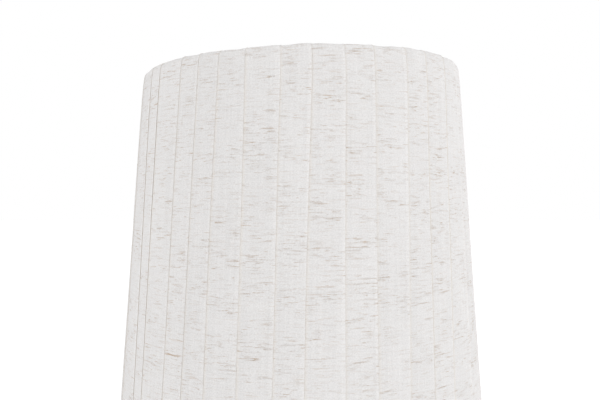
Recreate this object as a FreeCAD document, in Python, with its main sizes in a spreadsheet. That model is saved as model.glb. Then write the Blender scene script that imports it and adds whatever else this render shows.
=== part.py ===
"""Column floor lamp: a weighted round foot, a steel stem with two side arms that each hold a screw-in
lamp, and a tall tapered shade of lapped linen pleats over a wire frame.

The origin is on the floor, under the middle of the foot. +Z is up and +Y is the side where the supply
flex comes in. The shade hangs on a seat at the top of the stem, where a fluted finial nut holds it.
All sizes are in millimetres.
"""

import FreeCAD, Part
import math
import os
import re

import Sketcher

SIZES = {
    # the shade as a whole
    "total_height": 1200,
    "hem_gap": 38,
    "shade_top_diameter": 250,
    "shade_bottom_diameter": 410,
    # the pleated cloth and the stiff lining behind it
    "pleat_count": 34,
    "full_turn": 45,
    "fading_turn": 75,
    "pleat_rise": 1.8,
    "cloth_thickness": 0.6,
    "hem_turn": 12,
    "lining_thickness": 0.6,
    "layer_gap": 0.2,
    # the wire frame
    "ring_wire": 5,
    "hoop_wire": 4,
    "strut_wire": 4,
    "strut_count": 8,
    "upper_hoop_height": 790,
    "lower_hoop_height": 410,
    "weld_gap": 0.1,
    # the spider that carries the shade
    "seat_drop": 28,
    "washer_diameter": 44,
    "washer_thickness": 2.5,
    "washer_play": 0.3,
    "arm_wire": 5,
    "arm_count": 3,
    "arm_start": 2,
    # the seat and the finial nut at the top of the stem
    "seat_diameter": 28,
    "seat_thickness": 4,
    "plug_length": 14,
    "pin_diameter": 10,
    "pin_height": 16,
    "thread_play": 0.15,
    "finial_diameter": 22,
    "finial_height": 21,
    "flute_count": 18,
    "flute_diameter": 2.4,
    # the stem
    "stem_diameter": 16,
    "stem_wall": 1.2,
    "fit_gap": 0.05,
    # the two branch blocks and their arms
    "lower_branch_height": 260,
    "upper_branch_height": 760,
    "branch_diameter": 24,
    "branch_height": 40,
    "branch_socket": 12,
    "edge_round": 1.5,
    "screw_chamfer": 1,
    "side_tube_diameter": 10,
    "side_tube_wall": 1,
    "side_reach": 52,
    "side_bend": 14,
    "side_rise": 36,
    # set screws
    "set_screw_diameter": 5,
    "set_screw_key": 2.5,
    # the lampholders
    "neck_diameter": 15,
    "neck_depth": 9,
    "holder_diameter": 40,
    "holder_wall": 2,
    "cap_height": 26,
    "cap_shoulder": 2,
    "flange_drop": 1,
    "shell_floor": 3,
    "skirt_height": 34,
    "flange_width": 3,
    "flange_thickness": 2.5,
    "thread_turns": 5,
    "thread_depth": 0.6,
    "insert_height": 14,
    "shell_height": 21,
    "shell_wall": 0.5,
    "contact_height": 2,
    # the screw-in lamps
    "bulb_diameter": 60,
    "bulb_length": 108,
    "bulb_cap_diameter": 26,
    "bulb_cap_height": 21.5,
    "bulb_thread_depth": 0.9,
    "bulb_cap_bevel": 2,
    "bulb_neck_lip": 0.5,
    "bulb_cap_turns": 5,
    "bulb_neck_diameter": 36,
    "bulb_neck_height": 15,
    "bulb_wall": 1.4,
    "bulb_gap": 0.3,
    "tip_diameter": 9,
    "tip_height": 1.4,
    "insulator_height": 3.2,
    # the foot
    "base_diameter": 300,
    "base_thickness": 8,
    "pad_count": 4,
    "pad_diameter": 24,
    "pad_circle": 250,
    "pad_height": 4,
    "pad_sink": 1.5,
    "pad_gap": 0.1,
    "base_screw_diameter": 8,
    "base_screw_head": 16,
    "head_height": 4.5,
    "head_sink": 0.5,
    "head_key": 5,
    "screw_bite": 9,
    "collar_diameter": 30,
    "collar_flange_diameter": 46,
    "collar_flange": 5,
    "collar_height": 46,
    "stem_socket": 20,
    # the flex and its way in
    "flex_height": 16,
    "flex_diameter": 5.6,
    "gland_bore": 6,
    "gland_diameter": 10,
    "gland_flange_diameter": 15,
    "gland_flange": 2,
    "gland_flat": 2,
    "splice_diameter": 9,
    "splice_round": 1,
    "splice_drop": 2,
    "splice_length": 16,
    "wire_diameter": 3,
    "wire_bend": 8,
}

doc = FreeCAD.newDocument("column_floor_lamp")
sheet = doc.addObject("Spreadsheet::Sheet", "Sizes")
for row, (alias, size) in enumerate(SIZES.items(), start=1):
    sheet.set(f"A{row}", alias.replace("_", " "))
    sheet.set(f"B{row}", str(size))
    sheet.setAlias(f"B{row}", alias)
doc.recompute()

SUB_PARTS = []


# ---------------------------------------------------------------- sizes and places


def sized(text):
    """An expression in plain size names, written as the sheet wants it."""
    return re.sub(r"[a-z_]+", lambda m: f"Sizes.{m[0]}" if m[0] in SIZES else m[0], text)


def value(text):
    """What an expression in size names comes to now."""
    return float(sheet.evalExpression(sized(text)))


# Heights over the floor.
PLATE_BOTTOM = "pad_height"
PLATE_TOP = "(pad_height + base_thickness)"
COLLAR_TOP = f"({PLATE_TOP} + collar_height)"
STEM_BOTTOM = f"({COLLAR_TOP} - stem_socket)"
FLEX_AXIS = f"({PLATE_TOP} + flex_height)"
SEAT_TOP = "(total_height - seat_drop)"
STEM_TOP = f"({SEAT_TOP} - seat_thickness)"
SPIDER_LEVEL = f"({SEAT_TOP} - arm_wire / 2 - weld_gap)"

# Half sizes that several pieces share.
STEM_RADIUS = "(stem_diameter / 2)"
STEM_BORE = "(stem_diameter / 2 - stem_wall)"
SIDE_RADIUS = "(side_tube_diameter / 2)"
PIN_RADIUS = "(pin_diameter / 2)"
COLLAR_RADIUS = "(collar_diameter / 2)"

# The layers of the shade, from the crest of a pleat inwards.
SLOPE = "((shade_bottom_diameter - shade_top_diameter) / 2 / (total_height - hem_gap))"
PLEAT_DEPTH = "(cloth_thickness + pleat_rise)"
COVER_DEPTH = f"(cloth_thickness + {PLEAT_DEPTH})"
LINING_DEPTH = f"({COVER_DEPTH} + layer_gap)"
RING_DEPTH = f"({LINING_DEPTH} + lining_thickness + layer_gap + ring_wire / 2)"
ROLL = "(ring_wire / 2 + 2 * layer_gap + lining_thickness + cloth_thickness)"
ROLL_BORE = f"({ROLL} - cloth_thickness)"
TOP_RING = f"(total_height - {ROLL})"
BOTTOM_RING = f"(hem_gap + {ROLL})"


def cone(height, depth="0"):
    """The shade's radius at a height over the floor, that depth inside the pleats' crests."""
    return f"(shade_top_diameter / 2 + {SLOPE} * (total_height - {height}) - {depth})"


TOP_RING_RADIUS = cone(TOP_RING, RING_DEPTH)
BOTTOM_RING_RADIUS = cone(BOTTOM_RING, RING_DEPTH)


def hoop_radius(height):
    """A hoop lies against the inner side of the struts, which run at the rings' depth."""
    return cone(height, f"({RING_DEPTH} + strut_wire / 2 + weld_gap + hoop_wire / 2)")


# ---------------------------------------------------------------- how a piece is drawn


def new_body(label, x="0", y="0", z="0", turn=None):
    """A body with its own label. x, y and z place it, and turn is its rotation there."""
    body = doc.addObject("PartDesign::Body", label)
    body.Label = label
    body.AllowCompound = True
    body.Placement = FreeCAD.Placement(FreeCAD.Vector(), turn or FreeCAD.Rotation())
    for axis, place in zip("xyz", (x, y, z)):
        if place != "0":
            body.setExpression(f"Placement.Base.{axis}", sized(place))
    SUB_PARTS.append(body)
    return body


def origin_item(body, role):
    return next(item for item in body.Origin.OriginFeatures if item.Role == role)


def new_sketch(body, name, plane, lift="0"):
    """A sketch on one of the body's own planes, that lift along the plane's normal."""
    sketch = body.newObject("Sketcher::SketchObject", name)
    sketch.AttachmentSupport = [(origin_item(body, plane), "")]
    sketch.MapMode = "FlatFace"
    if lift != "0":
        sketch.setExpression("AttachmentOffset.Base.z", sized(lift))
    return sketch


def pin_down(sketch, edge, end, x, y):
    """Holds one end of an edge at x, y, both worked out from the sheet."""
    for kind, place, axis in (("DistanceX", x, -2), ("DistanceY", y, -1)):
        if place == "0":
            sketch.addConstraint(Sketcher.Constraint("PointOnObject", edge, end, axis))
        else:
            held = Sketcher.Constraint(kind, -1, 1, edge, end, value(place))
            sketch.setExpression(f"Constraints[{sketch.addConstraint(held)}]", sized(place))


def arc_between(start, end, radius, way):
    """The arc of under a half turn from start to end, anticlockwise if way is left."""
    chord = end - start
    reach = math.sqrt(max(radius**2 - chord.Length**2 / 4, 0))
    side = 1 if way == "left" else -1
    across = FreeCAD.Vector(-chord.y, chord.x, 0).normalize() * (side * reach)
    centre = start + chord * 0.5 + across
    first, last = (start, end) if way == "left" else (end, start)
    angles = [math.atan2(spot.y - centre.y, spot.x - centre.x) for spot in (first, last)]
    circle = Part.Circle(centre, FreeCAD.Vector(0, 0, 1), radius)
    return Part.ArcOfCircle(circle, *angles)


def draw(body, name, plane, corners, lift="0", closed=True):
    """An outline through corners. Each is (x, y), reached by a straight line from the one before,
    or (x, y, radius, way), reached by an arc that bends left or right."""
    sketch = new_sketch(body, name, plane, lift)
    spots = [FreeCAD.Vector(value(corner[0]), value(corner[1]), 0) for corner in corners]
    edges = []
    for i in range(0 if closed else 1, len(corners)):
        start, end = spots[i - 1], spots[i]
        if len(corners[i]) == 2:
            edge = sketch.addGeometry(Part.LineSegment(start, end), False)
            edges.append((edge, 1, 2))
        else:
            radius, way = corners[i][2:]
            edge = sketch.addGeometry(arc_between(start, end, value(radius), way), False)
            edges.append((edge, 1, 2) if way == "left" else (edge, 2, 1))
            held = Sketcher.Constraint("Radius", edge, value(radius))
            sketch.setExpression(f"Constraints[{sketch.addConstraint(held)}]", sized(radius))
    pairs = zip(edges, edges[1:] + edges[:1]) if closed else zip(edges, edges[1:])
    for (edge, _, end), (follower, start, _) in pairs:
        sketch.addConstraint(Sketcher.Constraint("Coincident", edge, end, follower, start))
    ends = corners if closed else corners[1:]
    for (edge, _, end), corner in zip(edges, ends):
        pin_down(sketch, edge, end, corner[0], corner[1])
    if not closed:
        pin_down(sketch, edges[0][0], edges[0][1], corners[0][0], corners[0][1])
    return sketch


def draw_circles(body, name, plane, circles, lift="0"):
    """Circles, each given as (x, y, radius). A circle inside another leaves a bore."""
    sketch = new_sketch(body, name, plane, lift)
    for x, y, radius in circles:
        centre = FreeCAD.Vector(value(x), value(y), 0)
        circle = Part.Circle(centre, FreeCAD.Vector(0, 0, 1), value(radius))
        edge = sketch.addGeometry(circle, False)
        pin_down(sketch, edge, 3, x, y)
        held = Sketcher.Constraint("Radius", edge, value(radius))
        sketch.setExpression(f"Constraints[{sketch.addConstraint(held)}]", sized(radius))
    return sketch


def draw_hexagon(body, name, plane, across, lift="0"):
    """A hexagon about the origin, that wide across its flats."""
    point = f"({across} / 2 / cos(30))"
    corners = [(f"({point} * cos({60 * i + 30}))", f"({point} * sin({60 * i + 30}))") for i in range(6)]
    return draw(body, name, plane, corners, lift)


def revolve(body, sketch, axis="V_Axis", kind="Revolution"):
    feature = body.newObject(f"PartDesign::{kind}", f"{sketch.Name}_{kind}")
    feature.Profile = sketch
    feature.ReferenceAxis = (sketch, [axis])
    feature.Angle = 360
    return feature


def pad(body, sketch, length):
    feature = body.newObject("PartDesign::Pad", f"{sketch.Name}_Pad")
    feature.Profile = sketch
    feature.setExpression("Length", sized(length))
    return feature


def pocket(body, sketch, length, against_normal=True):
    """Cuts from the sketch's plane against its normal, or along it, and checks that it cut."""
    doc.recompute()
    before = body.Shape.Volume
    feature = body.newObject("PartDesign::Pocket", f"{sketch.Name}_Pocket")
    feature.Profile = sketch
    feature.Reversed = not against_normal
    feature.setExpression("Length", sized(length))
    doc.recompute()
    if body.Shape.Volume > before - 1e-3:
        raise RuntimeError(f"{feature.Name} cut nothing")
    return feature


def polar(body, feature, count, axis="Z_Axis"):
    """Repeats a feature evenly round one of the body's own axes."""
    doc.recompute()
    pattern = body.newObject("PartDesign::PolarPattern", f"{feature.Name}_Pattern")
    pattern.Originals = [feature]
    pattern.Axis = (origin_item(body, axis), [""])
    pattern.Angle = 360
    pattern.setExpression("Occurrences", sized(count))
    body.Tip = pattern
    return pattern


def linear(body, feature, axis, length, count):
    """Repeats a feature evenly along one of the body's own axes."""
    doc.recompute()
    pattern = body.newObject("PartDesign::LinearPattern", f"{feature.Name}_Pattern")
    pattern.Originals = [feature]
    pattern.Direction = (origin_item(body, axis), [""])
    pattern.setExpression("Length", sized(length))
    pattern.Occurrences = count
    body.Tip = pattern
    return pattern


def loft(body, sections, name):
    feature = body.newObject("PartDesign::AdditiveLoft", name)
    feature.Profile = sections[0]
    feature.Sections = sections[1:]
    feature.Ruled = True
    return feature


def pipe(body, profile, spine):
    feature = body.newObject("PartDesign::AdditivePipe", f"{profile.Name}_Pipe")
    feature.Profile = profile
    feature.Spine = (spine, [f"Edge{i + 1}" for i in range(len(spine.Geometry))])
    return feature


# ---------------------------------------------------------------- pieces of a common kind


def turned(label, corners, x="0", y="0", z="0", turn=None):
    """A piece turned round its own upright axis from one outline of (radius, height) corners."""
    body = new_body(label, x, y, z, turn)
    revolve(body, draw(body, f"{label}_outline", "XZ_Plane", corners))
    return body


def tube(label, outer_radius, bore_radius, low, high):
    """A straight upright tube between two heights."""
    body = new_body(label)
    rims = [("0", "0", outer_radius), ("0", "0", bore_radius)]
    pad(body, draw_circles(body, f"{label}_rims", "XY_Plane", rims, low), f"{high} - {low}")
    return body


def wire_ring(label, ring_radius, height, wire):
    """A ring of round wire about the stem's axis."""
    body = new_body(label)
    section = draw_circles(body, f"{label}_wire", "XZ_Plane", [(ring_radius, height, f"{wire} / 2")])
    revolve(body, section)
    return body


# ---------------------------------------------------------------- the foot

HEAD_TOP = f"({PLATE_BOTTOM} + head_sink + head_height)"
SCREW_HOLE = "(base_screw_diameter / 2 + thread_play)"
HEAD_HOLE = "(base_screw_head / 2 + layer_gap)"


def make_base_plate():
    """A steel disc, with its top edge rounded, a sunk hole for the screw and a seat for each pad."""
    rim = "(base_diameter / 2)"
    body = turned(
        "base_plate",
        [
            (SCREW_HOLE, HEAD_TOP),
            (HEAD_HOLE, HEAD_TOP),
            (HEAD_HOLE, PLATE_BOTTOM),
            (f"({rim} - edge_round)", PLATE_BOTTOM),
            (rim, f"({PLATE_BOTTOM} + edge_round)", "edge_round", "left"),
            (rim, f"({PLATE_TOP} - edge_round)"),
            (f"({rim} - edge_round)", PLATE_TOP, "edge_round", "left"),
            (SCREW_HOLE, PLATE_TOP),
        ],
    )
    seat = draw_circles(
        body,
        "pad_seat",
        "XY_Plane",
        [("(pad_circle / 2)", "0", "(pad_diameter / 2 + pad_gap)")],
        PLATE_BOTTOM,
    )
    polar(body, pocket(body, seat, "pad_sink", against_normal=False), "pad_count")


def make_rubber_pads():
    """The pads sit in the plate's underside and taper a little towards the floor."""
    body = new_body("rubber_pads")
    spot = ("(pad_circle / 2)", "0")
    sections = [
        draw_circles(body, "pad_floor", "XY_Plane", [(*spot, "(pad_diameter / 2 - edge_round)")]),
        draw_circles(body, "pad_edge", "XY_Plane", [(*spot, "(pad_diameter / 2)")], "edge_round"),
        draw_circles(
            body, "pad_top", "XY_Plane", [(*spot, "(pad_diameter / 2)")], "(pad_height + pad_sink)"
        ),
    ]
    polar(body, loft(body, sections, "pad_loft"), "pad_count")


def make_base_screw():
    """The socket screw that pulls the collar down onto the plate."""
    head = "(base_screw_head / 2)"
    shank = "(base_screw_diameter / 2)"
    low = f"({PLATE_BOTTOM} + head_sink)"
    high = f"({PLATE_TOP} + screw_bite)"
    body = turned(
        "base_screw",
        [
            ("0", low),
            (f"({head} - head_sink)", low),
            (head, f"({low} + head_sink)"),
            (head, f"({HEAD_TOP} - weld_gap)"),
            (shank, f"({HEAD_TOP} - weld_gap)"),
            (shank, f"({high} - screw_chamfer)"),
            (f"({shank} - screw_chamfer)", high),
            ("0", high),
        ],
    )
    key = draw_hexagon(body, "head_socket", "XY_Plane", "head_key", low)
    pocket(body, key, "head_height * 0.6", against_normal=False)


CAVITY_BOTTOM = f"({PLATE_TOP} + screw_bite + screw_chamfer)"
CAVITY_RADIUS = f"({STEM_BORE} - layer_gap)"
GLAND_FACE = f"({COLLAR_RADIUS} - gland_flat)"
SET_SCREW_LEVEL = f"({STEM_BOTTOM} + stem_socket / 2)"


def make_stem_collar():
    """Holds the stem upright on the plate. The flex comes in at its back and bends up inside."""
    rim = "(collar_flange_diameter / 2)"
    step = f"({PLATE_TOP} + collar_flange)"
    neck = "(collar_flange - edge_round)"
    body = turned(
        "stem_collar",
        [
            (SCREW_HOLE, PLATE_TOP),
            (rim, PLATE_TOP),
            (rim, f"({step} - edge_round)"),
            (f"({rim} - edge_round)", step, "edge_round", "left"),
            (f"({COLLAR_RADIUS} + {neck})", step),
            (COLLAR_RADIUS, f"({step} + {neck})", neck, "right"),
            (COLLAR_RADIUS, f"({COLLAR_TOP} - edge_round)"),
            (f"({COLLAR_RADIUS} - edge_round)", COLLAR_TOP, "edge_round", "left"),
            (f"({STEM_RADIUS} + fit_gap)", COLLAR_TOP),
            (f"({STEM_RADIUS} + fit_gap)", STEM_BOTTOM),
            (CAVITY_RADIUS, STEM_BOTTOM),
            (CAVITY_RADIUS, CAVITY_BOTTOM),
            (SCREW_HOLE, CAVITY_BOTTOM),
        ],
    )
    flat = draw_circles(
        body,
        "gland_flat",
        "XZ_Plane",
        [("0", FLEX_AXIS, "(gland_flange_diameter / 2 + layer_gap)")],
        f"-{GLAND_FACE}",
    )
    pocket(body, flat, "gland_flat * 2")
    way_in = draw_circles(
        body, "gland_hole", "XZ_Plane", [("0", FLEX_AXIS, "(gland_diameter / 2 + fit_gap)")]
    )
    pocket(body, way_in, COLLAR_RADIUS)
    screw_hole = draw_circles(
        body,
        "set_screw_hole",
        "YZ_Plane",
        [("0", SET_SCREW_LEVEL, "(set_screw_diameter / 2 + fit_gap)")],
    )
    pocket(body, screw_hole, COLLAR_RADIUS, against_normal=False)


GLAND_LENGTH = f"({GLAND_FACE} - {CAVITY_RADIUS} - layer_gap)"


def make_flex_gland():
    """A flanged bush in the collar's back, which the supply flex comes through."""
    bore = "(gland_bore / 2)"
    rim, half = "(gland_flange_diameter / 2)", "(gland_flange / 2)"
    turned(
        "flex_gland",
        [
            (bore, f"-{GLAND_LENGTH}"),
            ("(gland_diameter / 2)", f"-{GLAND_LENGTH}"),
            ("(gland_diameter / 2)", "fit_gap"),
            (rim, "fit_gap"),
            (rim, half),
            (f"({rim} - {half})", "gland_flange", half, "left"),
            (bore, "gland_flange"),
        ],
        y=GLAND_FACE,
        z=FLEX_AXIS,
        turn=FreeCAD.Rotation(FreeCAD.Vector(1, 0, 0), -90),
    )


def set_screws(label, outer_radius, level, turn, spacing=None):
    """Set screws that press on the stem, lying along X before the turn, one or a pair one above
    the other."""
    body = new_body(label, z=level, turn=turn)
    low = f"({STEM_RADIUS} + fit_gap)"
    lift = f"-{spacing} / 2" if spacing else "0"
    shank = draw_circles(body, f"{label}_shank", "YZ_Plane", [("0", lift, "(set_screw_diameter / 2)")], low)
    first = pad(body, shank, f"{outer_radius} - {low} - layer_gap")
    if spacing:
        linear(body, first, "Z_Axis", spacing, 2)
    key = draw_hexagon_at(body, f"{label}_key", "set_screw_key", lift, f"({outer_radius} - layer_gap)")
    cut = pocket(body, key, "set_screw_key")
    if spacing:
        linear(body, cut, "Z_Axis", spacing, 2)
    return body


def draw_hexagon_at(body, name, across, height, lift):
    """A hexagon on the YZ plane about a point on the Z axis."""
    point = f"({across} / 2 / cos(30))"
    corners = [
        (f"({point} * cos({60 * i + 30}))", f"({height} + {point} * sin({60 * i + 30}))") for i in range(6)
    ]
    return draw(body, name, "YZ_Plane", corners, lift)


# ---------------------------------------------------------------- the stem and its branches

HALF_BRANCH = "(branch_height / 2)"
BRANCH_WEB = f"({HALF_BRANCH} - branch_socket)"
BRANCH_RADIUS = "(branch_diameter / 2)"
BRANCH_SCREW_SPACING = "(branch_height - branch_socket)"


def make_stems():
    """Three lengths of steel tube: collar to block, block to block, and block to seat."""
    lower_low = f"(lower_branch_height - {BRANCH_WEB})"
    lower_high = f"(lower_branch_height + {BRANCH_WEB})"
    upper_low = f"(upper_branch_height - {BRANCH_WEB})"
    upper_high = f"(upper_branch_height + {BRANCH_WEB})"
    tube("lower_stem", STEM_RADIUS, STEM_BORE, STEM_BOTTOM, lower_low)
    tube("middle_stem", STEM_RADIUS, STEM_BORE, lower_high, upper_low)
    tube("upper_stem", STEM_RADIUS, STEM_BORE, upper_high, STEM_TOP)


def make_branch_block(label, height, turn):
    """A turned block that joins two lengths of stem and lets the side tube in."""
    socket = f"({STEM_RADIUS} + fit_gap)"
    web_bore = f"({STEM_BORE} - layer_gap)"
    top_inner = f"({BRANCH_RADIUS} - edge_round)"
    body = turned(
        label,
        [
            (socket, f"-{HALF_BRANCH}"),
            (top_inner, f"-{HALF_BRANCH}"),
            (BRANCH_RADIUS, f"(edge_round - {HALF_BRANCH})", "edge_round", "left"),
            (BRANCH_RADIUS, f"({HALF_BRANCH} - edge_round)"),
            (top_inner, HALF_BRANCH, "edge_round", "left"),
            (socket, HALF_BRANCH),
            (socket, BRANCH_WEB),
            (web_bore, BRANCH_WEB),
            (web_bore, f"-{BRANCH_WEB}"),
            (socket, f"-{BRANCH_WEB}"),
        ],
        z=height,
        turn=turn,
    )
    side = draw_circles(
        body, f"{label}_side", "YZ_Plane", [("0", "0", f"({SIDE_RADIUS} + fit_gap)")]
    )
    pocket(body, side, BRANCH_RADIUS, against_normal=False)
    screw_hole = draw_circles(
        body,
        f"{label}_screw",
        "XZ_Plane",
        [("0", f"-{BRANCH_SCREW_SPACING} / 2", "(set_screw_diameter / 2 + fit_gap)")],
    )
    cut = pocket(body, screw_hole, BRANCH_RADIUS)
    linear(body, cut, "Z_Axis", BRANCH_SCREW_SPACING, 2)


def make_side_tube(label, height, turn):
    """A tube that leaves the block level and bends up to the lampholder."""
    body = new_body(label, z=height, turn=turn)
    start = f"({STEM_BORE} - layer_gap)"
    spine = draw(
        body,
        f"{label}_spine",
        "XZ_Plane",
        [
            (start, "0"),
            ("(side_reach - side_bend)", "0"),
            ("side_reach", "side_bend", "side_bend", "left"),
            ("side_reach", "side_rise"),
        ],
        closed=False,
    )
    rims = [("0", "0", SIDE_RADIUS), ("0", "0", f"({SIDE_RADIUS} - side_tube_wall)")]
    pipe(body, draw_circles(body, f"{label}_rims", "YZ_Plane", rims, start), spine)


# ---------------------------------------------------------------- the lampholders

HOLDER_BOTTOM = "(side_rise - neck_depth)"
HOLDER_RADIUS = "(holder_diameter / 2)"
HOLDER_BORE = f"({HOLDER_RADIUS} - holder_wall)"
NECK_RADIUS = "(neck_diameter / 2)"
INSERT_RADIUS = f"({HOLDER_BORE} - layer_gap)"
INSERT_BOTTOM = "(cap_height - insert_height / 2)"
INSERT_TOP = "(cap_height + insert_height / 2)"
HOLDER_TOP = "(cap_height + skirt_height)"
BULB_BOTTOM = f"({INSERT_TOP} + contact_height + bulb_gap)"
SHELL_BORE = "(bulb_cap_diameter / 2 + bulb_gap)"
SHELL_RADIUS = f"({SHELL_BORE} + shell_wall)"


def make_holder_cap(label, place):
    """The dome that closes the bottom of the lampholder and grips the side tube."""
    bore = f"({SIDE_RADIUS} + fit_gap)"
    ledge = f"({INSERT_BOTTOM} - layer_gap)"
    dome = f"({HOLDER_RADIUS} - {NECK_RADIUS})"
    inner_dome = f"({HOLDER_BORE} - cap_shoulder - {NECK_RADIUS})"
    floor = f"({ledge} - {inner_dome})"
    return turned(
        label,
        [
            (bore, "0"),
            (NECK_RADIUS, "0"),
            (NECK_RADIUS, f"({floor} - holder_wall)"),
            (HOLDER_RADIUS, f"({floor} - holder_wall + {dome})", dome, "left"),
            (HOLDER_RADIUS, "cap_height"),
            (HOLDER_BORE, "cap_height"),
            (HOLDER_BORE, ledge),
            (f"({HOLDER_BORE} - cap_shoulder)", ledge),
            (NECK_RADIUS, floor, inner_dome, "right"),
            (bore, floor),
        ],
        **place,
    )


def make_holder_skirt(label, place):
    """The sleeve round the lamp's cap, with a flange and the thread that a shade ring would use."""
    flange = f"({HOLDER_RADIUS} + flange_width)"
    flange_low = f"({INSERT_TOP} + flange_drop)"
    flange_high = f"({flange_low} + flange_thickness)"
    pitch = f"(({HOLDER_TOP} - edge_round - {flange_high}) / thread_turns)"
    inner = f"({SHELL_RADIUS} + layer_gap)"
    crest = f"({HOLDER_RADIUS} - thread_depth / 2)"
    root = f"({crest} - thread_depth)"
    outline = [
        (HOLDER_BORE, "(cap_height + fit_gap)"),
        (HOLDER_RADIUS, "(cap_height + fit_gap)"),
        (HOLDER_RADIUS, flange_low),
        (flange, flange_low),
        (flange, flange_high),
        (root, flange_high),
    ]
    for turn in range(round(value("thread_turns"))):
        outline += [
            (crest, f"({flange_high} + {pitch} * {turn + 0.5})"),
            (root, f"({flange_high} + {pitch} * {turn + 1})"),
        ]
    outline += [
        (root, HOLDER_TOP),
        (inner, HOLDER_TOP),
        (inner, f"({INSERT_TOP} + layer_gap)"),
        (HOLDER_BORE, f"({INSERT_TOP} + layer_gap)"),
    ]
    return turned(label, outline, **place)


def make_holder_insert(label, place):
    """The heat-proof block that carries the contacts. The wires come up through its middle."""
    return turned(
        label,
        [
            ("(wire_diameter / 2 + layer_gap)", INSERT_BOTTOM),
            (INSERT_RADIUS, INSERT_BOTTOM),
            (INSERT_RADIUS, INSERT_TOP),
            ("0", INSERT_TOP),
            ("0", f"({INSERT_BOTTOM} + insert_height / 2)"),
            ("(wire_diameter / 2 + layer_gap)", f"({INSERT_BOTTOM} + insert_height / 2)"),
        ],
        **place,
    )


def make_screw_shell(label, place):
    """The brass sleeve that the lamp's cap screws into."""
    low = f"({INSERT_TOP} + fit_gap)"
    high = f"({low} + shell_height)"
    floor = f"({low} + shell_wall)"
    return turned(
        label,
        [
            (f"({SHELL_BORE} - shell_floor)", low),
            (SHELL_RADIUS, low),
            (SHELL_RADIUS, high),
            (SHELL_BORE, high),
            (SHELL_BORE, floor),
            (f"({SHELL_BORE} - shell_floor)", floor),
        ],
        **place,
    )


def make_centre_contact(label, place):
    """The domed brass contact under the tip of the lamp."""
    low = f"({INSERT_TOP} + fit_gap)"
    return turned(
        label,
        [
            ("0", low),
            ("(tip_diameter / 2)", low),
            ("(tip_diameter / 2)", f"({low} + contact_height / 2)"),
            ("(tip_diameter / 4)", f"({INSERT_TOP} + contact_height)"),
            ("0", f"({INSERT_TOP} + contact_height)"),
        ],
        **place,
    )


# ---------------------------------------------------------------- the screw-in lamps

TIP_TOP = "tip_height"
INSULATOR_TOP = "(tip_height + insulator_height)"
CAP_RADIUS = "(bulb_cap_diameter / 2)"
BULB_CAP_TOP = f"({INSULATOR_TOP} + bulb_cap_height)"
NECK_TOP = f"({BULB_CAP_TOP} + bulb_neck_height)"
BULB_RADIUS = "(bulb_diameter / 2)"
BULB_NECK = "(bulb_neck_diameter / 2)"
GLOBE_CENTRE = f"(bulb_length - {BULB_RADIUS})"


def make_bulb_tip(label, place):
    """The soldered centre contact."""
    return turned(
        label,
        [
            ("0", "0"),
            ("(tip_diameter / 2 - tip_height)", "0"),
            ("(tip_diameter / 2)", TIP_TOP, "tip_height", "left"),
            ("0", TIP_TOP),
        ],
        **place,
    )


def make_bulb_insulator(label, place):
    """The black glass between the tip and the threaded cap."""
    return turned(
        label,
        [
            ("0", TIP_TOP),
            ("(tip_diameter / 2)", TIP_TOP),
            (f"({CAP_RADIUS} - bulb_cap_bevel)", INSULATOR_TOP),
            ("0", INSULATOR_TOP),
        ],
        **place,
    )


def make_bulb_cap(label, place):
    """The threaded metal cap, its thread drawn as rings."""
    root = f"({CAP_RADIUS} - bulb_thread_depth)"
    pitch = "((bulb_cap_height - 2 * bulb_cap_bevel) / bulb_cap_turns)"
    first = f"({INSULATOR_TOP} + bulb_cap_bevel)"
    outline = [("0", INSULATOR_TOP), (f"({CAP_RADIUS} - bulb_cap_bevel)", INSULATOR_TOP), (root, first)]
    for turn in range(round(value("bulb_cap_turns"))):
        outline += [
            (CAP_RADIUS, f"({first} + {pitch} * {turn + 0.5})"),
            (root, f"({first} + {pitch} * {turn + 1})"),
        ]
    outline += [(root, BULB_CAP_TOP), ("0", BULB_CAP_TOP)]
    return turned(label, outline, **place)


def make_bulb_neck(label, place):
    """The white housing of the driver, which flares from the cap to the globe."""
    return turned(
        label,
        [
            ("0", BULB_CAP_TOP),
            (f"({CAP_RADIUS} + bulb_neck_lip)", BULB_CAP_TOP),
            (f"({CAP_RADIUS} + bulb_neck_lip)", f"({BULB_CAP_TOP} + bulb_cap_bevel)"),
            (BULB_NECK, NECK_TOP),
            ("0", NECK_TOP),
        ],
        **place,
    )


def make_bulb_globe(label, place):
    """The opal globe: a round dome over a waist that narrows to the neck."""
    inner = f"({BULB_RADIUS} - bulb_wall)"
    rise, flare = f"({GLOBE_CENTRE} - {NECK_TOP})", f"({BULB_RADIUS} - {BULB_NECK})"
    waist = f"({rise} ^ 2 / {flare} / 2 + {flare} / 2)"
    return turned(
        label,
        [
            (BULB_NECK, NECK_TOP),
            (BULB_RADIUS, GLOBE_CENTRE, waist, "left"),
            ("0", "bulb_length", BULB_RADIUS, "left"),
            ("0", "(bulb_length - bulb_wall)"),
            (inner, GLOBE_CENTRE, inner, "right"),
            (f"({BULB_NECK} - bulb_wall)", NECK_TOP, waist, "right"),
        ],
        **place,
    )


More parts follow.
